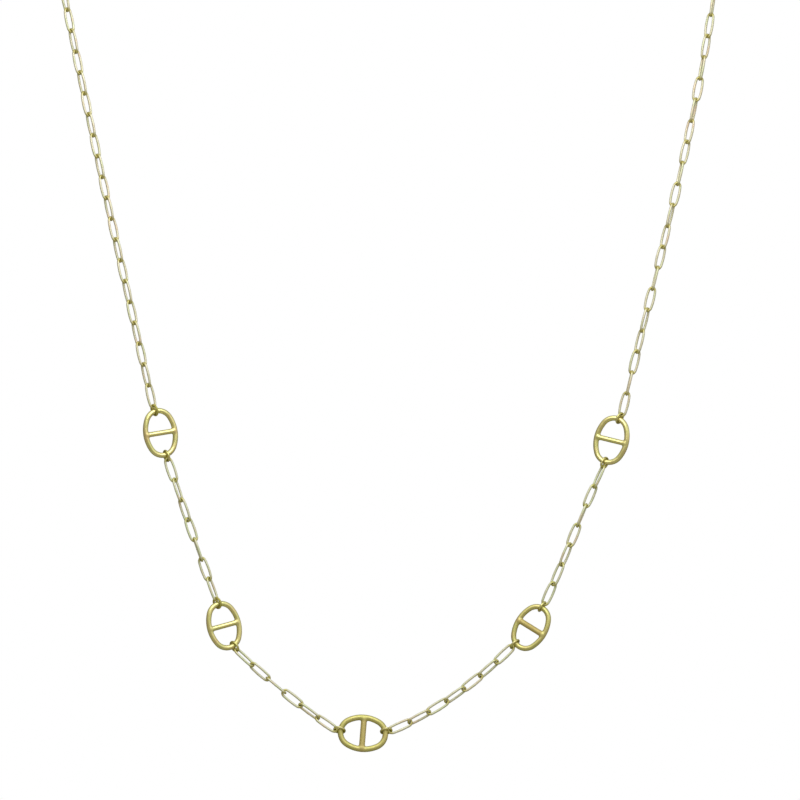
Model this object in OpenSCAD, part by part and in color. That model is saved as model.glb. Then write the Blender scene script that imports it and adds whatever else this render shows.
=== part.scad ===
// Long station necklace in its hanging form: a paperclip cable chain with five stud ovals.
// The front is at -Y and hangs in an upright plane. Left and right are as seen from the front.
// The origin is where the middle of the back rests on the nape.

/* [Stud ovals] */
// Overall length of an oval
oval_l = 11.8; // [11.4:0.1:13]
// Overall width of an oval
oval_w = 8.6; // [8.2:0.1:9.6]
// Wire diameter of an oval
oval_wire = 1.25; // [1:0.05:1.25]
// Bending radius of an oval's ends, on the middle of the wire
oval_end_r = 3; // [2.8:0.1:3.2]
// Diameter of the bar soldered across an oval, as a share of the oval's wire
bar_share = 0.96; // [0.7:0.02:0.98]

/* [Chain links] */
// Overall length of a link
link_l = 6.1; // [5.8:0.1:6.6]
// Overall width of a link
link_w = 2.18; // [2.1:0.02:2.4]
// Wire diameter of a link
link_wire = 0.46; // [0.4:0.02:0.46]

/* [Jump rings] */
// Overall diameter of a jump ring
ring_d = 3.1; // [3.1:0.05:3.4]
// Wire diameter of a jump ring
ring_wire = 0.48; // [0.4:0.02:0.48]

/* [Clasp] */
// Overall length of the clasp's hook
hook_l = 7.2; // [6.8:0.1:9]
// Overall width of the clasp's hook
hook_w = 4.4; // [4.2:0.1:5]
// Wire diameter of the clasp's hook
hook_wire = 1.2; // [1:0.05:1.3]
// Overall diameter of the clasp's eye
eye_d = 2.8; // [2.7:0.1:3.2]
// Wire diameter of the clasp's eye
eye_wire = 0.7; // [0.6:0.05:0.7]
// Overall diameter of the ring that the hook holds
end_ring_d = 4.4; // [4.2:0.1:5]
// Wire diameter of that ring
end_ring_wire = 0.7; // [0.6:0.05:0.8]

/* [Hanging form] */
// Drop from the nape to the middle of the lowest oval
drop = 247; // [225:1:280]
// Depth from the nape to the plane in which the front hangs
depth = 122; // [100:1:135]

/* [Hidden] */

GOLD = [0.8, 0.73, 0.38];
$fn = 28;

// Sides of the necklace, as signs of X
LEFT = -1;
RIGHT = 1;

// Headings are degrees above the level, going outwards and up from the lowest oval on each side.
// Rolls are degrees about the direction of travel, and 0 faces the front.
LINKS = 0;
HEAD_START = 1;
HEAD_END = 2;
BEND = 3;
PLAY = 4;
ROLL_MEAN = 5;
ROLL_HALF = 6;
ROLL_TWIST = 7;
// Runs of chain from the lowest oval outwards: count of links, headings at the start and the end,
// extra heading half way, play at each joint, mean roll, half the roll between neighbours, twist
// for each link
RIGHT_RUNS = [
    [7, 21.7, 44.6, 2.1, 0.22, -12, 30, 0],
    [7, 65.3, 64.5, 2.8, 0.215, 21, -35, -16.5],
    [20, 76.7, 81.9, -2.5, 0.12, 62, -44, -19]
];
LEFT_RUNS = [
    [6, 33.7, 43.4, 0.4, 0.237, 88.5, -53, -16.5],
    [7, 69.3, 71.5, 0.7, 0.265, 12, 48, 20],
    [20, 77.3, 78.9, -0.4, 0.172, -6, 42, 0]
];
// Jump rings at the start and the end of each run: heading, heading of the pull that gives the
// ring's place on its oval, and roll
FIRST = 0;
SECOND = 1;
HEADING = 0;
SEAT = 1;
ROLL = 2;
RIGHT_RINGS = [
    [[9, 15, 33], [45, 33.5, 22]],
    [[54.5, 66.5, 16], [70.2, 70.4, 36]],
    [[64, 63.2, 30]]
];
LEFT_RINGS = [
    [[11.8, 11.6, 34], [56.6, 53.3, 35]],
    [[71.8, 71.7, 40], [72.3, 70.4, 28]],
    [[72, 70.1, 33]]
];
// Ovals: heading of the long axis, and turn about it
TURN = 1;
RIGHT_OVALS = [
    [-4.6, 8],
    [58.6, 18],
    [76.4, 20]
];
LEFT_OVALS = [
    [4.6, 8],
    [75.2, 20],
    [80.8, 20]
];
// Sideways place of the lowest oval
lowest_x = -6;
// Clearance of a wire inside a jump ring, and least play between two links
ring_play = 0.145;
least_play = 0.12;
// How far the hidden stretch keeps its way at the front and at the nape
rise_reach = 66;
nape_reach = 74;
// Steps that measure the hidden stretch
MEASURE_STEPS = 240;
// Angle by which an oval's arcs stop short, and how much wider the balls are that join them
arc_gap = 0.5;
ball_proud = 0.02;
// Bending radius of the hook's ends, as a share of its width
hook_end_share = 0.3;

front_y = -depth;
nape_y = link_w / 2;
oval_a = (oval_l - oval_wire) / 2;
oval_b = (oval_w - oval_wire) / 2;
bar_wire = bar_share * oval_wire;
link_half = (link_l - link_wire) / 2;
lowest = [lowest_x, front_y, -drop];

function unit(v) = v / norm(v);
function runs(side) = side > 0 ? RIGHT_RUNS : LEFT_RUNS;
function rings(side) = side > 0 ? RIGHT_RINGS : LEFT_RINGS;
function ovals(side) = side > 0 ? RIGHT_OVALS : LEFT_OVALS;
// Direction of a heading in the front plane
function rise(side, heading) = [side * cos(heading), 0, sin(heading)];
// Direction across it in the front plane, towards the middle of the necklace
function inward(side, heading) = [-side * sin(heading), 0, cos(heading)];
// Direction across the travel, rolled about it
function rolled(side, along, across, roll) =
    cos(roll) * across + sin(roll) * side * cross(across, along);
// Roll that brings the direction across nearest to a target
function roll_towards(side, along, across, target) =
    atan2(side * cross(across, along) * target, across * target);
// Roll brought between -90 and 90, which looks the same for a link
function half_turn(roll) = roll - 180 * round(roll / 180);
// Distance from a ring's middle to the middle of a wire that it holds
function ring_hold(outer, own_wire, held_wire) = outer / 2 - own_wire - held_wire / 2 - ring_play;

// Distance between joints, and from a joint to the end wire's middle
function pitch(run) = link_l - 2 * link_wire - run[PLAY];
function overhang(run) = (link_wire + run[PLAY]) / 2;
function heading_at(run, k) =
    let (t = (k + 0.5) / run[LINKS])
    run[HEAD_START] + (run[HEAD_END] - run[HEAD_START]) * t + 4 * run[BEND] * t * (1 - t);
function roll_at(run, k) =
    run[ROLL_MEAN] + run[ROLL_HALF] * (k % 2 == 0 ? 1 : -1) + run[ROLL_TWIST] * k;

// From an oval's centre to the middle of its wire where a ring pulls in a direction
function oval_bearing(side, oval, pull) =
    let (
        along = rise(side, oval[HEADING]),
        across = rolled(side, along, inward(side, oval[HEADING]), oval[TURN]),
        a = pull * along,
        b = pull * across,
        reach = oval_a - oval_end_r
    )
    along * (sign(a) * reach + oval_end_r * a / norm([a, b])) + across * oval_end_r * b / norm([a, b]);

// Walk outwards from the lowest oval. Each stage of it gives the middle of the first jump ring,
// the joints of the chain, the middle of the second jump ring and the centre of the next oval.
RING_OUT = 0;
JOINTS = 1;
RING_IN = 2;
NEXT_OVAL = 3;
oval_hold = ring_hold(ring_d, ring_wire, oval_wire);
link_hold = ring_hold(ring_d, ring_wire, link_wire);
// From a ring's middle to the middle of its wire, and from there to the middle of a link's wire
ring_r = (ring_d - ring_wire) / 2;
link_seat = (ring_wire + link_wire) / 2 + ring_play;

function walk(side, stage = 0, centre = lowest) =
    stage == len(runs(side)) ? [] :
    let (
        run = runs(side)[stage],
        n = run[LINKS],
        first = rings(side)[stage][FIRST],
        out = rise(side, first[HEADING]),
        bearing = oval_bearing(side, ovals(side)[stage], rise(side, first[SEAT])),
        ring_out = centre + bearing + out * oval_hold,
        start = ring_out + out * ring_r + rise(side, heading_at(run, 0)) * (overhang(run) - link_seat),
        joints = [
            for (k = 0, p = start; k <= n; p = p + rise(side, heading_at(run, k)) * pitch(run), k = k + 1)
                p
        ],
        last = stage == len(runs(side)) - 1,
        second = rings(side)[stage][last ? FIRST : SECOND],
        in = rise(side, second[HEADING]),
        end = joints[n] + rise(side, heading_at(run, n - 1)) * (overhang(run) - link_seat),
        ring_in = end + in * ring_r,
        next = last ? ring_in :
            ring_in + in * oval_hold
            - oval_bearing(side, ovals(side)[stage + 1], -rise(side, second[SEAT]))
    )
    concat([[ring_out, joints, ring_in, next]], walk(side, stage + 1, next));

right_walk = walk(RIGHT);
left_walk = walk(LEFT);
function walked(side) = side > 0 ? right_walk : left_walk;

// Clasp at the nape, laid along X: the eye at the left, the hook at the right
hook_end = (hook_l - hook_wire) / 2;
hook_end_r = hook_end_share * hook_w;
eye_r = (eye_d - eye_wire) / 2;
eye_x = -hook_end - eye_wire / 2 - eye_r;
clasp_ring_x = eye_x - eye_r - ring_hold(ring_d, ring_wire, eye_wire);
end_ring_x = hook_end + ring_hold(end_ring_d, end_ring_wire, hook_wire);
left_end_x = clasp_ring_x - link_hold;
right_end_x = end_ring_x + ring_hold(end_ring_d, end_ring_wire, link_wire);
clasp_x = -(left_end_x + right_end_x) / 2;
back_end_x = (right_end_x - left_end_x) / 2;

// Hidden stretch: one smooth curve from the last joint at the front, up and over the shoulder
// to the nape
FRONT_RUN = 2;
function front_end(side) = walked(side)[FRONT_RUN][JOINTS][runs(side)[FRONT_RUN][LINKS]];
function back_curve(side) =
    let (
        start = front_end(side),
        end = [side * (back_end_x + (link_wire + least_play) / 2), nape_y, 0]
    )
    [
        start,
        start + rise(side, runs(side)[FRONT_RUN][HEAD_END]) * rise_reach,
        end + [side * nape_reach, 0, 0],
        end
    ];
function on_curve(c, t) =
    pow(1 - t, 3) * c[0] + 3 * pow(1 - t, 2) * t * c[1] + 3 * (1 - t) * t * t * c[2] + pow(t, 3) * c[3];
// Pairs of length along the curve and its parameter
function measured(c) = [
    for (
        i = 0, s = 0;
        i <= MEASURE_STEPS;
        s = s + norm(on_curve(c, (i + 1) / MEASURE_STEPS) - on_curve(c, i / MEASURE_STEPS)), i = i + 1
    )
        [s, i / MEASURE_STEPS]
];
function back_joints(side) =
    let (
        c = back_curve(side),
        table = measured(c),
        total = table[MEASURE_STEPS][0],
        n = ceil(total / (link_l - 2 * link_wire - least_play))
    )
    [for (k = [0:n]) on_curve(c, lookup(total * k / n, table))];
right_back = back_joints(RIGHT);
left_back = back_joints(LEFT);
// Direction from a joint to the next one, or to the last one
function way(joints, k) =
    let (i = min(k, len(joints) - 2))
    unit(joints[i + 1] - joints[i]);
function square_to(a, along) = unit(a - (a * along) * along);
// Directions across the links of the hidden stretch, carried along it without twist
function carried(side, joints) = [
    for (
        k = 0, a = square_to(inward(side, runs(side)[FRONT_RUN][HEAD_END]), way(joints, 0));
        k < len(joints) - 1;
        a = square_to(a, way(joints, k + 1)), k = k + 1
    )
        a
];

// Children built with their length along Z and their width along X, put in place
module placed(centre, along, across) {
    normal = cross(along, across);
    multmatrix([for (i = [0:2]) [across[i], normal[i], along[i], centre[i]]]) children();
}

// Arc of round wire in the XZ plane, about the origin, from one angle above +X to another
module wire_arc(radius, wire, from, to) {
    rotate([90, 0, 0])
        rotate([0, 0, from])
            rotate_extrude(angle = to - from)
                translate([radius, 0])
                    circle(d = wire);
}

module wire_ring(outer, wire) {
    rotate_extrude()
        translate([(outer - wire) / 2, 0])
            circle(d = wire);
}

// Oval of round wire from four arcs. A ball a hair wider than the wire joins each two, which stop
// just inside it.
module wire_oval(a, b, end_r, wire) {
    side_r = (a * a + b * b - 2 * a * end_r) / (2 * (b - end_r));
    meet = atan2(a - end_r, side_r - b);
    for (s = [0, 180]) {
        rotate([0, s, 0]) {
            translate([0, 0, a - end_r]) {
                wire_arc(end_r, wire, meet + arc_gap, 180 - meet - arc_gap);
                for (angle = [meet, 180 - meet])
                    translate([end_r * cos(angle), 0, end_r * sin(angle)])
                        sphere(d = wire + ball_proud);
            }
            translate([b - side_r, 0, 0])
                wire_arc(side_r, wire, arc_gap - meet, meet - arc_gap);
        }
    }
}

module link() {
    bend_r = (link_w - link_wire) / 2;
    leg = link_half - bend_r;
    for (s = [0, 180]) {
        rotate([0, s, 0]) {
            translate([0, 0, leg]) wire_arc(bend_r, link_wire, 0, 180);
            translate([bend_r, 0, -leg]) cylinder(d = link_wire, h = 2 * leg);
        }
    }
}

// Oval with its bar, at the end of a stage of the walk
module station(side, number, centre) {
    oval = ovals(side)[number];
    along = rise(side, oval[HEADING]);
    across = rolled(side, along, inward(side, oval[HEADING]), oval[TURN]);
    color(GOLD)
        placed(centre, along, across) {
            wire_oval(oval_a, oval_b, oval_end_r, oval_wire);
            rotate([0, 90, 0]) cylinder(d = bar_wire, h = 2 * oval_b, center = true);
        }
}

// Closed ring about a direction, which never comes near Y here
module ring(centre, axis, outer, wire) {
    color(GOLD)
        placed(centre, axis, unit(cross(axis, [0, 1, 0])))
            wire_ring(outer, wire);
}

module jump_ring(side, stage, which, centre) {
    own = rings(side)[stage][which];
    axis = rolled(side, rise(side, own[HEADING]), inward(side, own[HEADING]), own[ROLL]);
    ring(centre, axis, ring_d, ring_wire);
}

module ring_out(side, stage) {
    jump_ring(side, stage, FIRST, walked(side)[stage][RING_OUT]);
}

module ring_in(side, stage) {
    jump_ring(side, stage, SECOND, walked(side)[stage][RING_IN]);
}

// Run of chain at the front
module chain(side, stage) {
    run = runs(side)[stage];
    joints = walked(side)[stage][JOINTS];
    color(GOLD)
        for (k = [0:run[LINKS] - 1]) {
            along = rise(side, heading_at(run, k));
            across = rolled(side, along, inward(side, heading_at(run, k)), roll_at(run, k));
            placed((joints[k] + joints[k + 1]) / 2, along, across) link();
        }
}

// Hidden run of chain. Its links go on turning as those of the run before it, with a slow twist
// that brings the last one square to the ring at the nape.
module chain_back(side, joints) {
    run = runs(side)[FRONT_RUN];
    n = len(joints) - 1;
    directions = carried(side, joints);
    last_roll = roll_towards(side, way(joints, n - 1), directions[n - 1], [0, 0, 1]);
    extra = half_turn(last_roll - roll_at(run, run[LINKS] + n - 1));
    color(GOLD)
        for (k = [0:n - 1]) {
            along = way(joints, k);
            roll = roll_at(run, run[LINKS] + k) + extra * (k + 1) / n;
            placed((joints[k] + joints[k + 1]) / 2, along, rolled(side, along, directions[k], roll)) link();
        }
}

// Plain closed clasp: an oval hook with an eye soldered to its end
module clasp() {
    color(GOLD)
        placed([clasp_x, nape_y, 0], [1, 0, 0], [0, 0, 1]) {
            wire_oval(hook_end, (hook_w - hook_wire) / 2, hook_end_r, hook_wire);
            translate([0, 0, eye_x]) rotate([90, 0, 0]) wire_ring(eye_d, eye_wire);
        }
}

station(RIGHT, 0, lowest);  // station_bottom
station(LEFT, 1, left_walk[0][NEXT_OVAL]);  // station_lower_left
station(RIGHT, 1, right_walk[0][NEXT_OVAL]);  // station_lower_right
station(LEFT, 2, left_walk[1][NEXT_OVAL]);  // station_upper_left
station(RIGHT, 2, right_walk[1][NEXT_OVAL]);  // station_upper_right
ring_out(LEFT, 0);  // ring_bottom_left
ring_out(RIGHT, 0);  // ring_bottom_right
ring_in(LEFT, 0);  // ring_lower_left_in
ring_out(LEFT, 1);  // ring_lower_left_out
ring_in(RIGHT, 0);  // ring_lower_right_in
ring_out(RIGHT, 1);  // ring_lower_right_out
ring_in(LEFT, 1);  // ring_upper_left_in
ring_out(LEFT, 2);  // ring_upper_left_out
ring_in(RIGHT, 1);  // ring_upper_right_in
ring_out(RIGHT, 2);  // ring_upper_right_out
chain(LEFT, 0);  // chain_low_left
chain(RIGHT, 0);  // chain_low_right
chain(LEFT, 1);  // chain_mid_left
chain(RIGHT, 1);  // chain_mid_right
chain(LEFT, 2);  // chain_front_left
chain(RIGHT, 2);  // chain_front_right
chain_back(LEFT, left_back);  // chain_back_left
chain_back(RIGHT, right_back);  // chain_back_right
clasp();
ring([clasp_x + clasp_ring_x, nape_y, 0], [0, 0, 1], ring_d, ring_wire);  // clasp_ring
ring([clasp_x + end_ring_x, nape_y, 0], [0, 0, 1], end_ring_d, end_ring_wire);  // end_ring
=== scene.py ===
"""Long station necklace in satin pale gold, hanging in front of a white ground."""

import math

import bpy
import numpy as np
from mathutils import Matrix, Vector


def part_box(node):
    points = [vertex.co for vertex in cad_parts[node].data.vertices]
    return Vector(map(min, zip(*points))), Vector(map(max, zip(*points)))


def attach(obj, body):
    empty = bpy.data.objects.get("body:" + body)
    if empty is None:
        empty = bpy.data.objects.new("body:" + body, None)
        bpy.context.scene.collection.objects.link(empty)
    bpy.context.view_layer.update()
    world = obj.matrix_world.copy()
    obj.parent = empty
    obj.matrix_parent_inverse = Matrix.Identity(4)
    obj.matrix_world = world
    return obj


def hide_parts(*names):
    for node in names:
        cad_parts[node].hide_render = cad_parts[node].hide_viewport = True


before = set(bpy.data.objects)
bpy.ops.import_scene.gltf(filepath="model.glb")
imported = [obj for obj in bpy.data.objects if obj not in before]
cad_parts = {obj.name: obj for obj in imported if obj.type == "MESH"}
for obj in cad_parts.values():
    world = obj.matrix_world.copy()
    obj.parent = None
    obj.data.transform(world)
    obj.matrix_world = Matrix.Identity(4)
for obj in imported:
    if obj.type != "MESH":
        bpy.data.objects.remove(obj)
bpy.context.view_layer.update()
scene = bpy.context.scene

MM = 0.001
# Links, rings and ovals are drawn flat in the XY plane and then placed
FLAT_NORMAL = np.array([0.0, 0, 1])

# Bending radius of an oval's ends, and radius of the bar across it
OVAL_END_R = 3.15 * MM
BAR_R = 0.6 * MM
# Clasp: bending radius of the hook's ends, the hook's length, the eye's outer diameter, the radius
# of its wire and the radius of the wire's middle line
HOOK_END_R = 1.32 * MM
HOOK_L = 7.2 * MM
EYE_D = 2.8 * MM
EYE_WIRE_R = 0.35 * MM
EYE_R = EYE_D / 2 - EYE_WIRE_R

# The solids hang 0.1 mm clear of each other, where the real wires touch. So the links' wire is
# thicker here, the rings are tighter with thicker wire, and the ends of links in rings are fuller.
LINK_GROWTH = 0.12 * MM
RING_GROWTH = 0.06 * MM
RING_TIGHTER = 0.1 * MM
END_FULLER = 0.16 * MM
# A ring holds a link's end whose tip is nearer to its centre than this, and that end gets painted
# shade in its crook, this dark
HELD_REACH = 2.2 * MM
HELD_SHADE = 0.75

# A link's legs bow: how much wider its middle is than drawn
WIDER_MIDDLE = 0.03
# Runs of chain: how much narrower the ends of their links are, and how much warmer and brighter each
# run's copy of the gold is, painted light and shade
RUNS = {
    "low": (0.18, 1.0, 0.96),
    "mid": (0.27, 0.99, 0.97),
    "front": (0.32, 1.01, 0.96),
    "back": (0.27, 1.0, 1.0),
}
# Solder on one leg of a link: how far it reaches, how much it swells the wire, how much it shows
LINK_SOLDER_REACH = 0.35 * MM
LINK_SOLDER_SWELL = 0.07
LINK_SOLDER_SHOWS = 0.3
# A link's leg gets painted shade over its last stretch, up to this share where the bend starts
DARKER_STRETCH = 0.6 * MM
BEND_START = 0.25

# Cut in a ring: half its width, the share of the wire's radius that it leaves, how far the painted
# shade in it reaches, how dark that is, and the share of a turn from one ring's cut to the next one's
CUT_HALF = 0.06 * MM
CUT_LEAVES = 0.8
CUT_REACH = 0.25 * MM
CUT_SHADE = 0.8
CUT_TURN = 0.37
# Painted shade on a ring where it holds wires: how much at its sides, and how much less at its front
SIDE_SHADE = 1.3
FRONT_LESS_SHADE = 1.5
# How much the rings are roughened and darkened with painted shade, and the two darkest ones
RING_DULL_SHADE = 0.1
DULL_SHADED_RINGS = {"ring_upper_left_out": 0.8, "ring_lower_left_out": 0.8}

# The ovals are bent by hand: how wide each is as a share of the drawn one, how much thicker its
# wire and its bar are, and how much higher it sits
SHAPES = {
    "station_bottom": (1.02, 0.06 * MM, 0.18 * MM, 0.08 * MM),
    "station_lower_left": (0.985, 0, 0, 0),
    "station_lower_right": (0.965, 0, 0.14 * MM, 0),
    "station_upper_left": (0.985, 0, 0, 0),
    "station_upper_right": (1.01, 0, 0, 0),
}
# How much solder shows at the bar's upper end and at its lower end
SOLDER_ENDS = {
    "station_bottom": (0.1, 0.9),
    "station_lower_left": (0.3, 0.5),
    "station_lower_right": (0.9, 0.4),
    "station_upper_left": (1.0, 0.3),
    "station_upper_right": (0.3, 0.2),
}
# How much each oval is roughened and darkened with painted shade, and how much its bar is
OVAL_SHADE_MARKS = {
    "station_bottom": (0.5, 0.8),
    "station_lower_left": (0.1, 0.0),
    "station_lower_right": (0.35, 0.9),
    "station_upper_left": (0.0, 0.0),
    "station_upper_right": (0.0, 0.1),
}
# How far solder shows round a joint of an oval and of the clasp
OVAL_SOLDER_REACH = 0.9 * MM
CLASP_SOLDER_REACH = 0.8 * MM
# A bar's painted shade stops this far from the middle of the oval's wire, fading over this length.
# It reaches this many times the bar's radius from the middle of the bar.
BAR_SHADE_SHORT = 0.2 * MM
BAR_SHADE_FADE = 0.5 * MM
BAR_SHADE_WITHIN = 1.1

# How softly solder fills the corner between two wires, and how far short of the middle of the
# oval's wire the bar ends, so that it doesn't swell the wire
FILLET = 0.45 * MM
BAR_SHORT = 0.5 * MM
# Grid of the remeshed ovals and clasp
VOXEL = 0.085 * MM
# Points move onto a surface or a path in a few rounds, and slopes are measured over a tiny step
SURFACE_ROUNDS = 5
SURFACE_STEP = 1e-6
LEAST_STEEPNESS = 0.05
PATH_ROUNDS = 6
PATH_STEP = 1e-7
# Points of a solid are welded where they are the same on a grid with this many lines in a metre
WELD_GRID = 1e7

# Points around a wire, and along a link's bend, a link's leg, a ring and an oval
WIRE_SIDES = 16
BEND_POINTS = 13
LEG_POINTS = 11
RING_POINTS = 56
OVAL_POINTS = 96

# Shares that each point of a piece carries for its material
MARKS = ("dull", "worn", "solder", "bend", "crook")
# Tones of pale, green and tan patches and of painted shade on bends, where other wires meet them
OVAL_TONES = ((0.84, 0.77, 0.33), (0.75, 0.74, 0.29), (0.83, 0.63, 0.31), (0.5, 0.42, 0.12))
RING_TONES = ((0.80, 0.74, 0.34), (0.72, 0.70, 0.26), (0.78, 0.64, 0.32), (0.58, 0.53, 0.16))
CHAIN_TONES = ((0.83, 0.82, 0.60), (0.77, 0.81, 0.54), (0.89, 0.73, 0.54), (0.66, 0.62, 0.24))
# Tones of solder, of painted shade on the duller ovals and rings and on the matte bars, and of
# painted shade in the crook inside a bend, and the tint of gold that is seen at a grazing angle
SOLDER_TAN = (0.72, 0.50, 0.24)
DULL_SHADE_OLIVE = (0.50, 0.47, 0.12)
MATTE_SHADE_TAN = (0.62, 0.52, 0.20)
CROOK_SHADE = (0.24, 0.215, 0.05)
GRAZING_TINT = (0.95, 0.93, 0.80, 1)
# Roughness of the ovals and rings and of the chain, how much it varies, and how much shade marks add
OVAL_ROUGH = 0.31
CHAIN_ROUGH = 0.58
ROUGH_VARIES = 0.07
MARK_ROUGHENS = 0.4
# Scale, detail and roughness of the noise in green, tan and rougher patches and in the fine grain
GREEN_NOISE = (420, 2, 0.5)
TAN_NOISE = (300, 3, 0.5)
ROUGH_NOISE = (900, 4, 0.5)
GRAIN_NOISE = (2500, 3, 0.6)
GRAIN_STRENGTH = 0.25
GRAIN_DEPTH = 0.03 * MM

# The studio gets brighter along this direction, up and a little to the right
BRIGHTER_WAY = (0.3, 0, 1)
# Its colours from the bottom, -1, to the top, 1
SKY = [
    (-1.0, (0.42, 0.42, 0.355)),
    (-0.6, (0.385, 0.38, 0.315)),
    (-0.25, (0.375, 0.35, 0.31)),
    (0.0, (0.47, 0.43, 0.395)),
    (0.25, (0.66, 0.62, 0.60)),
    (0.5, (0.98, 0.98, 1.0)),
    (1.0, (0.82, 0.83, 0.95)),
]
# Its strength from the camera's side, -1, to the far side of the necklace, 1
DEPTHS = [
    (-0.35, (1.0, 1.0, 1.0)),
    (0.5, (0.45, 0.45, 0.45)),
    (0.7, (0.5, 0.5, 0.5)),
    (0.95, (0.95, 0.95, 0.95)),
]
WHITE = (1, 1, 1, 1)

# Small soft light near the middle, above and in front of the ovals
LIGHT_PLACE = Vector((0.0, -0.25, -0.06))
LIGHT_AIM = Vector((0.0, -0.122, -0.22))
LIGHT_SIZE = 0.18
LIGHT_POWER = 0.16

# Pale floor: its corners, its colour, its roughness, and how much it glows so that it isn't grey
FLOOR_CORNERS = [(-0.45, -0.45, -0.3), (0.45, -0.45, -0.3), (0.45, 0.35, -0.3), (-0.45, 0.35, -0.3)]
FLOOR_PALE = (0.85, 0.85, 0.84, 1)
FLOOR_ROUGH = 0.8
FLOOR_GLOW = 0.15

# Camera level with the middle of the photographed part, far enough away to see it nearly flat
CAMERA_AIM = Vector((2.70 * MM, -122 * MM, -168.68 * MM))
CAMERA_DISTANCE = 1.5
SHOWN_WIDTH = 187.8 * MM
SENSOR_WIDTH = 36
# It sees things between these distances
NEAREST = 0.05
FARTHEST = 50


def mesh_arrays(node):
    """A node's welded points and triangles."""
    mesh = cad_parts[node].data
    points = np.empty(len(mesh.vertices) * 3)
    mesh.vertices.foreach_get("co", points)
    mesh.calc_loop_triangles()
    tris = np.empty(len(mesh.loop_triangles) * 3, dtype=np.int64)
    mesh.loop_triangles.foreach_get("vertices", tris)
    points = points.reshape(-1, 3)
    keys = np.round(points * WELD_GRID).astype(np.int64)
    _, first, inverse = np.unique(keys, axis=0, return_index=True, return_inverse=True)
    return points[first], inverse.reshape(-1)[tris].reshape(-1, 3)


def loose_parts(points, tris):
    """Lists of triangles, one for each separate solid of a node."""
    label = np.arange(len(points))
    while True:
        low = label[tris].min(axis=1)
        new = label.copy()
        for k in range(3):
            np.minimum.at(new, tris[:, k], low)
        new = new[new]
        if (new == label).all():
            break
        label = new
    owner = label[tris[:, 0]]
    return [tris[owner == one] for one in np.unique(owner)]


def solid_frame(points, tris):
    """Centre of a solid, its axes from the longest to the shortest, and its extents along them."""
    a, b, c = (points[tris[:, k]] for k in range(3))
    area = np.linalg.norm(np.cross(b - a, c - a), axis=1)
    middle = (a + b + c) / 3
    centre = (area[:, None] * middle).sum(axis=0) / area.sum()
    offset = middle - centre
    spread = (offset * area[:, None]).T @ offset
    _, axes = np.linalg.eigh(spread)
    axes = axes[:, ::-1].T
    axes[2] = np.cross(axes[0], axes[1])
    own = (points[np.unique(tris)] - centre) @ axes.T
    low = own.min(axis=0)
    high = own.max(axis=0)
    return centre + (low + high) / 2 @ axes, axes, high - low


def placed(points, centre, axes):
    """Flat drawn points moved to the centre and the axes of a solid."""
    return centre + points @ axes


def joined(pieces):
    """One list of points and one of faces for several pieces."""
    points = []
    faces = []
    start = 0
    for piece_points, piece_faces in pieces:
        points.append(piece_points)
        faces.extend(tuple(int(v) + start for v in face) for face in piece_faces)
        start += len(piece_points)
    return np.concatenate(points), faces


def closed_tube(path, outward, radii):
    """Points and quads of a tube round a flat closed path."""
    sides = WIRE_SIDES
    angle = np.arange(sides) * 2 * math.pi / sides
    across = np.cos(angle)[None, :, None] * outward[:, None, :]
    ring = across + np.sin(angle)[None, :, None] * FLAT_NORMAL
    points = path[:, None, :] + radii[:, None, None] * ring
    i = np.arange(len(path))[:, None]
    j = np.arange(sides)[None, :]
    here = i * sides
    ahead = (i + 1) % len(path) * sides
    beside = (j + 1) % sides
    quads = np.stack([here + j, ahead + j, ahead + beside, here + beside], axis=-1)
    return points.reshape(-1, 3), quads.reshape(-1, 4)


def link_template(length, width, wire, narrower):
    """A paperclip link along X with its width along Y, the marks of its points, and how far each
    point is out on the tip of an end."""
    bend = (width - wire) / 2
    leg = (length - wire) / 2 - bend
    path = []
    solder = []
    arc = []
    for side in (1, -1):
        for k in range(LEG_POINTS):
            x = leg * (1 - 2 * k / (LEG_POINTS - 1))
            path.append((side * x, side * bend, 0))
            solder.append(math.exp(-((x / LINK_SOLDER_REACH) ** 2)) if side > 0 else 0)
            arc.append(BEND_START * max(0.0, (abs(x) - leg) / DARKER_STRETCH + 1))
        for k in range(1, BEND_POINTS - 1):
            angle = math.pi * k / (BEND_POINTS - 1)
            path.append((side * (-leg - bend * math.sin(angle)), side * bend * math.cos(angle), 0))
            solder.append(0)
            arc.append(BEND_START + (1 - BEND_START) * math.sin(angle))
    path = np.array(path)
    solder = np.array(solder)
    arc = np.array(arc)
    path[:, 1] *= 1 + WIDER_MIDDLE - narrower * (path[:, 0] / (leg + bend)) ** 2
    ahead = np.roll(path, -1, axis=0) - np.roll(path, 1, axis=0)
    outward = np.cross(ahead / np.linalg.norm(ahead, axis=1)[:, None], FLAT_NORMAL)
    radii = (wire + LINK_GROWTH) / 2 * (1 + LINK_SOLDER_SWELL * solder)
    points, quads = closed_tube(path, outward, radii)
    inner = (1 - np.cos(np.arange(WIRE_SIDES) * 2 * math.pi / WIRE_SIDES)) / 2
    bent = np.clip(arc - BEND_START, 0, 1) / (1 - BEND_START)
    outer_end = bent[:, None] * (1 - inner)[None, :]
    # Painted shade on the inner side of the wire round each bend, fading out along the leg
    crook = arc[:, None] * inner[None, :]
    marks = {
        "solder": LINK_SOLDER_SHOWS * np.repeat(solder, WIRE_SIDES),
        "bend": np.repeat(arc, WIRE_SIDES),
        "crook": crook.reshape(-1),
    }
    return points, quads, marks, outer_end.reshape(-1)


def ring_template(outer, wire):
    """A ring with the fine cut where it was closed, and how near each point is to the cut."""
    radius = (outer - wire) / 2
    cut = CUT_HALF / radius
    rest = np.linspace(0, 2 * math.pi, RING_POINTS, endpoint=False)[2:-1]
    angle = np.array([-cut, 0, cut, *rest])
    outward = np.stack([np.cos(angle), np.sin(angle), 0 * angle], axis=1)
    radii = np.full(len(angle), wire / 2)
    radii[1] *= CUT_LEAVES
    points, quads = closed_tube(outward * radius, outward, radii)
    closing = np.exp(-((angle * radius / CUT_REACH) ** 2))
    return points, quads, np.repeat(closing, WIRE_SIDES)


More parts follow.
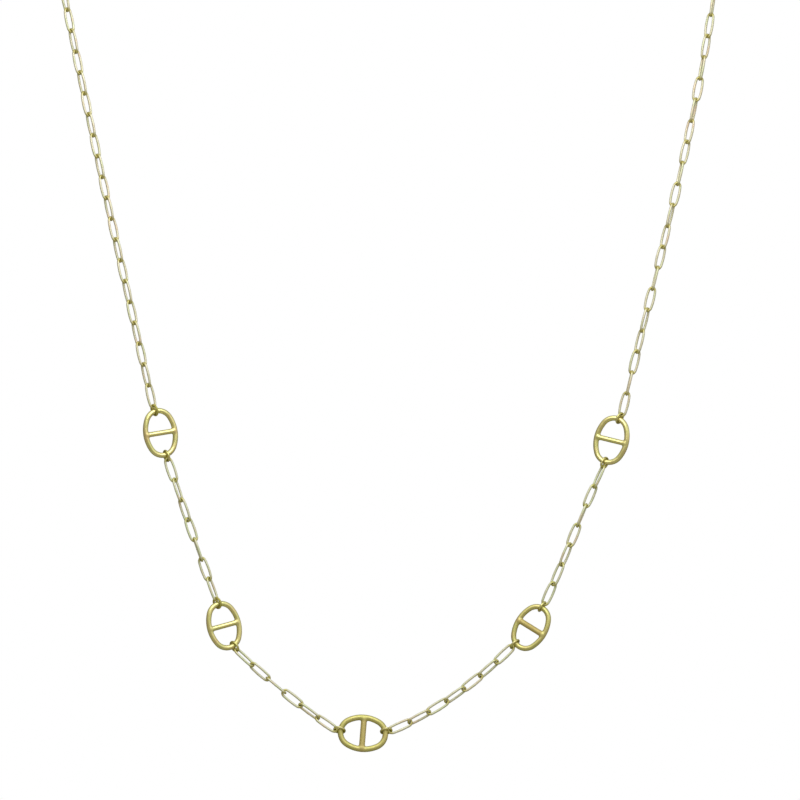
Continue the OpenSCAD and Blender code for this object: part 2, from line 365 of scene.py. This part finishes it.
def rod(radius, half):
    """A rough rod along Y."""
    sides = WIRE_SIDES
    points = []
    for y in (-half, half):
        for k in range(sides):
            angle = 2 * math.pi * k / sides
            points.append((radius * math.cos(angle), y, radius * math.sin(angle)))
    faces = [(k, k + sides, (k + 1) % sides + sides, (k + 1) % sides) for k in range(sides)]
    faces.append(tuple(range(sides)))
    faces.append(tuple(range(2 * sides - 1, sides - 1, -1)))
    return np.array(points), faces


def oval_distance(u, v, a, b, end_r):
    """Distance in the plane from the middle line of a four-arc oval."""
    u = np.abs(u)
    v = np.abs(v)
    side_r = (a * a + b * b - 2 * a * end_r) / (2 * (b - end_r))
    end_u = a - end_r
    side_v = side_r - b
    meet = math.atan2(side_v, end_u)
    at_end = np.arctan2(v, u - end_u) < meet
    return np.where(at_end, np.hypot(u - end_u, v) - end_r, np.hypot(u, v + side_v) - side_r)


def oval_tube(a, b, end_r, wire):
    """A four-arc oval of round wire, whose middle line is an ellipse's points drawn onto the arcs."""
    t = np.arange(OVAL_POINTS) * 2 * math.pi / OVAL_POINTS
    path = np.stack([a * np.cos(t), b * np.sin(t), 0 * t], axis=1)
    for _ in range(PATH_ROUNDS):
        u = path[:, 0]
        v = path[:, 1]
        d = oval_distance(u, v, a, b, end_r)
        du = (oval_distance(u + PATH_STEP, v, a, b, end_r) - d) / PATH_STEP
        dv = (oval_distance(u, v + PATH_STEP, a, b, end_r) - d) / PATH_STEP
        path[:, 0] -= d * du
        path[:, 1] -= d * dv
    outward = np.stack([du, dv, 0 * t], axis=1)
    return closed_tube(path, outward, np.full(OVAL_POINTS, wire / 2))


def wire_distance(p, a, b, end_r, wire):
    """Distance from the surface of an oval of round wire."""
    return np.hypot(oval_distance(p[:, 0], p[:, 1], a, b, end_r), p[:, 2]) - wire / 2


def soft_union(d, e):
    """Two distances joined with a fillet."""
    h = np.clip(1 - np.abs(d - e) / FILLET, 0, 1)
    return np.minimum(d, e) - h * h * FILLET / 4


def station_distance(a, b, wire, bar_r):
    """Distance from the surface of an oval with its bar."""

    def distance(p):
        past = np.clip(np.abs(p[:, 1]) - (b - BAR_SHORT), 0, None)
        bar = np.sqrt(p[:, 0] ** 2 + past**2 + p[:, 2] ** 2) - bar_r
        return soft_union(wire_distance(p, a, b, OVAL_END_R, wire), bar)

    return distance


def clasp_distance(a, b, wire, eye_x):
    """Distance from the surface of the clasp's hook with its eye."""

    def distance(p):
        eye = np.hypot(np.hypot(p[:, 0] - eye_x, p[:, 2]) - EYE_R, p[:, 1]) - EYE_WIRE_R
        return soft_union(wire_distance(p, a, b, HOOK_END_R, wire), eye)

    return distance


def on_surface(points, distance):
    """Points moved onto the surface where a distance is nought."""
    for _ in range(SURFACE_ROUNDS):
        d = distance(points)
        slopes = [(distance(points + SURFACE_STEP * way) - d) / SURFACE_STEP for way in np.eye(3)]
        slope = np.stack(slopes, axis=1)
        steepness = np.maximum((slope**2).sum(axis=1), LEAST_STEEPNESS)
        points = points - d[:, None] * slope / steepness[:, None]
    return points


def solder_round(points, joint, reach):
    """How much solder shows on each point round a joint."""
    to_joint = np.linalg.norm(points - np.array(joint), axis=1)
    return np.exp(-((to_joint / reach) ** 2))


def new_object(name, points, faces, marks):
    """A mesh object whose points carry the shares in marks."""
    mesh = bpy.data.meshes.new(name)
    mesh.from_pydata([tuple(p) for p in points], [], [tuple(int(v) for v in f) for f in faces])
    mesh.polygons.foreach_set("use_smooth", [True] * len(mesh.polygons))
    for mark, values in marks.items():
        layer = mesh.attributes.new(mark, "FLOAT", "POINT")
        layer.data.foreach_set("value", np.asarray(values, dtype=np.float32))
    mesh.update()
    obj = bpy.data.objects.new(name, mesh)
    scene.collection.objects.link(obj)
    return obj


def one_skin(pieces, distance):
    """Points and quads of one closed skin round overlapping pieces, drawn onto a surface."""
    rough = new_object("skin", *joined(pieces), {})
    remesh = rough.modifiers.new("Remesh", "REMESH")
    remesh.mode = "VOXEL"
    remesh.voxel_size = VOXEL
    bpy.context.view_layer.update()
    evaluated = rough.evaluated_get(bpy.context.evaluated_depsgraph_get())
    skin = bpy.data.meshes.new_from_object(evaluated)
    bpy.data.objects.remove(rough)
    points = np.empty(len(skin.vertices) * 3)
    skin.vertices.foreach_get("co", points)
    quads = [tuple(p.vertices) for p in skin.polygons]
    bpy.data.meshes.remove(skin)
    return on_surface(points.reshape(-1, 3), distance), quads


def replace_node(node, ending, points, faces, marks, material):
    """A finished piece in the place of a node, with a share of nought for each mark not given."""
    all_marks = {mark: marks.get(mark, np.zeros(len(points))) for mark in MARKS}
    piece = new_object(node + ending, points, faces, all_marks)
    piece.data.materials.append(material)
    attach(piece, "root")
    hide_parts(node)


def replace_chain(node, narrower, gold, ring_centres):
    """A finer link in the place of each link of a run, all in one body."""
    cad_points, cad_tris = mesh_arrays(node)
    pieces = []
    all_marks = []
    for k, part in enumerate(loose_parts(cad_points, cad_tris)):
        centre, axes, size = solid_frame(cad_points, part)
        points, quads, marks, outer_end = link_template(*size, narrower)
        if k % 2:
            points = points * (-1, -1, 1)
        for end in (1, -1):
            tip = centre + end * axes[0] * size[0] / 2
            if min(np.linalg.norm(ring_centres - tip, axis=1)) < HELD_REACH:
                held = end * points[:, 0] > 0
                points[:, 0] += end * END_FULLER * outer_end * held
                # Painted shade on the outer side of a link's end that a ring holds
                marks["crook"] = np.maximum(marks["crook"], HELD_SHADE * outer_end * held)
        pieces.append((placed(points, centre, axes), quads))
        all_marks.append(marks)
    marks = {mark: np.concatenate([own[mark] for own in all_marks]) for mark in all_marks[0]}
    replace_node(node, "_links", *joined(pieces), marks, gold)


def replace_ring(node, turn, gold):
    """A ring with its cut turned to a side. It has painted shade at its sides, where the wires that
    it holds meet it, and less at its front."""
    centre, axes, size = solid_frame(*mesh_arrays(node))
    points, quads, closing = ring_template(size[0] - RING_TIGHTER, size[2] + RING_GROWTH)
    cos = math.cos(turn)
    sin = math.sin(turn)
    points = placed(points @ np.array([[cos, sin, 0], [-sin, cos, 0], [0, 0, 1]]), centre, axes)
    to_front = (centre - points)[:, 1] / (size[0] / 2)
    marks = {
        # Painted shade all over the ring, most on the two darkest ones, with added roughness
        "dull": np.full(len(points), DULL_SHADED_RINGS.get(node, RING_DULL_SHADE)),
        # Painted shade at the ring's sides and back, fading out towards its front
        "bend": np.clip(SIDE_SHADE - FRONT_LESS_SHADE * to_front, 0, 1),
        # Painted shade in the ring's cut
        "crook": CUT_SHADE * closing,
    }
    replace_node(node, "_piece", points, quads, marks, gold)


def replace_ovals(gold):
    """The ovals with their bars: one skin with solder in the corners, fitted to each."""
    skin = None
    for node, (width, thicker, bar_thicker, raised) in SHAPES.items():
        centre, axes, size = solid_frame(*mesh_arrays(node))
        wire = size[2]
        half_a = (size[0] - wire) / 2
        half_b = (size[1] - wire) / 2
        if skin is None:
            pieces = (oval_tube(half_a, half_b, OVAL_END_R, wire), rod(BAR_R, half_b - BAR_SHORT))
            skin = one_skin(pieces, station_distance(half_a, half_b, wire, BAR_R))
        points, quads = skin
        bar_r = BAR_R + bar_thicker / 2
        points = on_surface(points, station_distance(half_a, half_b, wire + thicker, bar_r))
        solder = np.zeros(len(points))
        for side in (1, -1):
            shows = SOLDER_ENDS[node][0 if side * axes[1][2] > 0 else 1]
            solder += shows * solder_round(points, (0, side * half_b, 0), OVAL_SOLDER_REACH)
        # Painted shade in a darker tan on the middle of a bar, which is also rougher
        on_bar = np.clip((half_b - BAR_SHADE_SHORT - np.abs(points[:, 1])) / BAR_SHADE_FADE, 0, 1)
        on_bar *= np.hypot(points[:, 0], points[:, 2]) < BAR_SHADE_WITHIN * bar_r
        dull, worn = OVAL_SHADE_MARKS[node]
        # Painted shade all over the duller ovals and on the matte bars, both with added roughness
        marks = {"dull": dull * (1 - on_bar), "worn": worn * on_bar, "solder": solder}
        points = placed(points * (1, width, 1), centre + (0, 0, raised), axes)
        replace_node(node, "_oval", points, quads, marks, gold)


def replace_clasp(gold):
    """The clasp's hook and eye as one skin."""
    low, high = (np.array(corner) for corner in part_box("clasp"))
    wire = high[1] - low[1]
    half_a = (HOOK_L - wire) / 2
    half_b = (high[2] - low[2] - wire) / 2
    joint_x = -half_a - EYE_WIRE_R
    eye_x = joint_x - EYE_R
    eye_points, eye_quads, _ = ring_template(EYE_D, 2 * EYE_WIRE_R)
    eye_points = eye_points[:, [0, 2, 1]] + (eye_x, 0, 0)
    pieces = (oval_tube(half_a, half_b, HOOK_END_R, wire), (eye_points, eye_quads[:, ::-1]))
    points, quads = one_skin(pieces, clasp_distance(half_a, half_b, wire, eye_x))
    marks = {"solder": solder_round(points, (joint_x, 0, 0), CLASP_SOLDER_REACH)}
    hook_centre = np.array([high[0] - HOOK_L / 2, (low[1] + high[1]) / 2, (low[2] + high[2]) / 2])
    upright = np.array([[1.0, 0, 0], [0, 0, 1.0], [0, -1.0, 0]])
    replace_node("clasp", "_piece", placed(points, hook_centre, upright), quads, marks, gold)


def gold_material(name, pale, green, tan, bend, rough):
    """Satin gold plate in patches of three tones, with painted shade where wires meet each other."""
    mat = bpy.data.materials.new(name)
    mat.use_nodes = True
    nodes = mat.node_tree.nodes
    links = mat.node_tree.links
    shader = nodes["Principled BSDF"]
    shader.inputs["Metallic"].default_value = 1.0
    shader.inputs["Specular Tint"].default_value = GRAZING_TINT
    place = nodes.new("ShaderNodeTexCoord")

    def noise(scale, detail, roughness):
        node = nodes.new("ShaderNodeTexNoise")
        node.inputs["Scale"].default_value = scale
        node.inputs["Detail"].default_value = detail
        node.inputs["Roughness"].default_value = roughness
        links.new(place.outputs["Object"], node.inputs["Vector"])
        return node.outputs["Fac"]

    def mark(mark_name):
        node = nodes.new("ShaderNodeAttribute")
        node.attribute_name = mark_name
        return node.outputs["Fac"]

    def ranged(value, start, full, least=0, most=1):
        node = nodes.new("ShaderNodeMapRange")
        node.interpolation_type = "SMOOTHSTEP"
        for socket, number in zip(node.inputs[1:5], (start, full, least, most)):
            socket.default_value = number
        links.new(value, node.inputs[0])
        return node.outputs[0]

    def covered(under, over, share):
        node = nodes.new("ShaderNodeMix")
        node.data_type = "RGBA"
        links.new(share, node.inputs["Factor"])
        if isinstance(under, bpy.types.NodeSocket):
            links.new(under, node.inputs[6])
        else:
            node.inputs[6].default_value = (*under, 1)
        node.inputs[7].default_value = (*over, 1)
        return node.outputs[2]

    colour = covered(pale, green, ranged(noise(*GREEN_NOISE), start=0.45, full=0.62))
    colour = covered(colour, tan, ranged(noise(*TAN_NOISE), start=0.53, full=0.68, most=0.6))
    # Painted shade on the duller ovals and rings
    colour = covered(colour, DULL_SHADE_OLIVE, mark("dull"))
    # Painted shade in a darker tan on the matte bars
    colour = covered(colour, MATTE_SHADE_TAN, mark("worn"))
    colour = covered(colour, SOLDER_TAN, ranged(mark("solder"), start=0.15, full=0.9, most=0.8))
    # Painted shade on the bends of links and the sides of rings
    colour = covered(colour, bend, ranged(mark("bend"), start=0.15, full=0.8))
    # Painted shade in the crooks of bends, on held link ends and in the rings' cuts
    colour = covered(colour, CROOK_SHADE, ranged(mark("crook"), start=0.5, full=1, most=0.9))
    links.new(colour, shader.inputs["Base Color"])

    least = rough - ROUGH_VARIES
    most = rough + ROUGH_VARIES
    roughness = ranged(noise(*ROUGH_NOISE), start=0.3, full=0.7, least=least, most=most)
    # The marks of painted shade also make the surface rougher
    for roughening_mark in ("worn", "dull"):
        added = nodes.new("ShaderNodeMath")
        added.operation = "MULTIPLY_ADD"
        added.inputs[1].default_value = MARK_ROUGHENS
        links.new(mark(roughening_mark), added.inputs[0])
        links.new(roughness, added.inputs[2])
        roughness = added.outputs[0]
    links.new(roughness, shader.inputs["Roughness"])

    grain = nodes.new("ShaderNodeBump")
    grain.inputs["Strength"].default_value = GRAIN_STRENGTH
    grain.inputs["Distance"].default_value = GRAIN_DEPTH
    links.new(noise(*GRAIN_NOISE), grain.inputs["Height"])
    links.new(grain.outputs["Normal"], shader.inputs["Normal"])
    return mat


def add_studio():
    """White ground for the camera, and a soft studio that the gold reflects: brighter above, warm
    at the sides and dimmer past them."""
    world = bpy.data.worlds.new("studio")
    scene.world = world
    world.use_nodes = True
    nodes = world.node_tree.nodes
    links = world.node_tree.links
    nodes.clear()

    def along(value, stops):
        """Colours that change along a value from -1 to 1."""
        share = nodes.new("ShaderNodeMapRange")
        share.inputs[1].default_value = -1
        share.inputs[2].default_value = 1
        links.new(value, share.inputs[0])
        ramp = nodes.new("ShaderNodeValToRGB")
        ramp.color_ramp.interpolation = "EASE"
        elements = ramp.color_ramp.elements
        while len(elements) < len(stops):
            elements.new(0.5)
        for element, (at, colour) in zip(elements, stops):
            element.position = (at + 1) / 2
            element.color = (*colour, 1)
        links.new(share.outputs[0], ramp.inputs[0])
        return ramp.outputs[0]

    way = nodes.new("ShaderNodeTexCoord")
    split = nodes.new("ShaderNodeSeparateXYZ")
    links.new(way.outputs["Generated"], split.inputs[0])
    rise = nodes.new("ShaderNodeVectorMath")
    rise.operation = "DOT_PRODUCT"
    rise.inputs[1].default_value = BRIGHTER_WAY
    links.new(way.outputs["Generated"], rise.inputs[0])
    studio = nodes.new("ShaderNodeBackground")
    links.new(along(rise.outputs["Value"], SKY), studio.inputs["Color"])
    links.new(along(split.outputs["Y"], DEPTHS), studio.inputs["Strength"])
    ground = nodes.new("ShaderNodeBackground")
    ground.inputs["Color"].default_value = WHITE
    rays = nodes.new("ShaderNodeLightPath")
    either = nodes.new("ShaderNodeMixShader")
    links.new(rays.outputs["Is Camera Ray"], either.inputs[0])
    links.new(studio.outputs[0], either.inputs[1])
    links.new(ground.outputs[0], either.inputs[2])
    out = nodes.new("ShaderNodeOutputWorld")
    links.new(either.outputs[0], out.inputs[0])


def add_light():
    data = bpy.data.lights.new("near_top", "AREA")
    data.shape = "DISK"
    data.size = LIGHT_SIZE
    data.energy = LIGHT_POWER
    light = bpy.data.objects.new("near_top", data)
    light.location = LIGHT_PLACE
    light.rotation_euler = (LIGHT_AIM - LIGHT_PLACE).to_track_quat("-Z", "Y").to_euler()
    light.visible_camera = False
    scene.collection.objects.link(light)


def add_floor():
    """Pale floor under the hanging necklace, which the gold doesn't reflect."""
    mesh = bpy.data.meshes.new("floor")
    mesh.from_pydata(FLOOR_CORNERS, [], [(0, 1, 2, 3)])
    mat = bpy.data.materials.new("floor")
    mat.use_nodes = True
    shader = mat.node_tree.nodes["Principled BSDF"]
    shader.inputs["Base Color"].default_value = FLOOR_PALE
    shader.inputs["Roughness"].default_value = FLOOR_ROUGH
    shader.inputs["Emission Color"].default_value = WHITE
    shader.inputs["Emission Strength"].default_value = FLOOR_GLOW
    mesh.materials.append(mat)
    floor = bpy.data.objects.new("floor", mesh)
    scene.collection.objects.link(floor)
    floor.visible_glossy = False


def add_camera():
    data = bpy.data.cameras.new("camera")
    data.sensor_width = SENSOR_WIDTH
    data.lens = SENSOR_WIDTH * CAMERA_DISTANCE / SHOWN_WIDTH
    data.clip_start = NEAREST
    data.clip_end = FARTHEST
    camera = bpy.data.objects.new("camera", data)
    camera.location = CAMERA_AIM + Vector((0, -CAMERA_DISTANCE, 0))
    camera.rotation_euler = (math.pi / 2, 0, 0)
    scene.collection.objects.link(camera)
    scene.camera = camera


ring_nodes = sorted(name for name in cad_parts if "ring" in name)
ring_centres = np.array([np.mean(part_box(node), axis=0) for node in ring_nodes])

for run, (narrower, warmth, tone) in RUNS.items():
    # Each run gets a lighter or darker copy of the gold, painted light and shade
    tones = [
        (red * tone * warmth, green * tone / warmth, blue * tone) for red, green, blue in CHAIN_TONES
    ]
    chain_gold = gold_material("chain_gold_" + run, *tones, CHAIN_ROUGH)
    for side in ("left", "right"):
        replace_chain(f"chain_{run}_{side}", narrower, chain_gold, ring_centres)

ring_gold = gold_material("ring_gold", *RING_TONES, OVAL_ROUGH)
for k, node in enumerate(ring_nodes):
    replace_ring(node, 2 * math.pi * ((k * CUT_TURN) % 1), ring_gold)

oval_gold = gold_material("oval_gold", *OVAL_TONES, OVAL_ROUGH)
replace_ovals(oval_gold)
replace_clasp(oval_gold)

scene.view_settings.view_transform = "Standard"
add_studio()
add_light()
add_floor()
add_camera()
